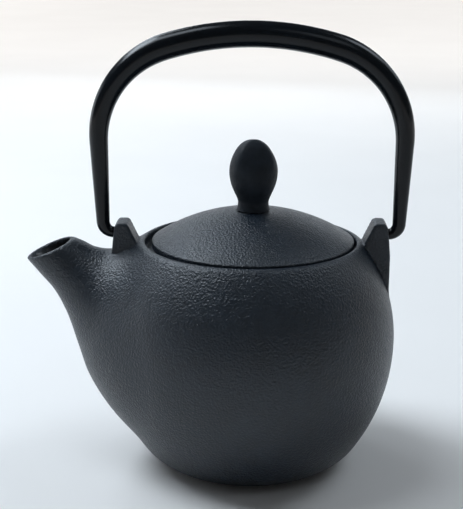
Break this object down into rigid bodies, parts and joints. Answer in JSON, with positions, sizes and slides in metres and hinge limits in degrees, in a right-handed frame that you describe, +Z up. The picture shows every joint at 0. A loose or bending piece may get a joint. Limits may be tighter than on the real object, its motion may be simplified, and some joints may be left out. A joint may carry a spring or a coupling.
{
  "type": "teapot",
  "caption": "Round cast-iron teapot with an upswept spout, a lift-off domed lid with a bud knob, a swinging bail handle and a lift-out infuser.",
  "frame": {"origin": "centre of the flat base, on the surface that the pot stands on", "axes": "+Z up, -X towards the spout, bail plane is XZ"},
  "size_m": [0.1749, 0.1328, 0.2034],
  "materials": {
    "cast_iron_skin": "fine pebbled cast skin, matte blue-black; dark enamel inside",
    "bail_paint": "smooth semi-gloss black",
    "knob_enamel": "smooth satin blue-black",
    "fastener_steel": "plain bright steel",
    "stainless_sheet": "polished stainless sheet",
    "stainless_mesh": "fine woven stainless mesh"
  },
  "bodies": {
    "pot": {"pot_body": "cast_iron_skin"},
    "handle": {"bail_handle": "bail_paint"},
    "infuser": {"infuser_rim": "stainless_sheet", "infuser_wall": "stainless_mesh", "infuser_base_ring": "stainless_sheet", "infuser_floor": "stainless_mesh"},
    "lid": {"lid": "cast_iron_skin", "lid_knob": "knob_enamel", "knob_washer": "fastener_steel", "knob_nut": "fastener_steel"}
  },
  "joints": [
    {"name": "bail_swing", "type": "hinge", "parent": "pot", "child": "handle", "pos_m": [0, 0, 0.1082], "axis": [1, 0, 0], "range_deg": [-120, 120]},
    {"name": "infuser_lift", "type": "slide", "parent": "pot", "child": "infuser", "axis": [0, 0, 1], "range_m": [0, 0.037]},
    {"name": "lid_lift", "type": "slide", "parent": "infuser", "child": "lid", "axis": [0, 0, 1], "range_m": [0, 0.037]}
  ]
}
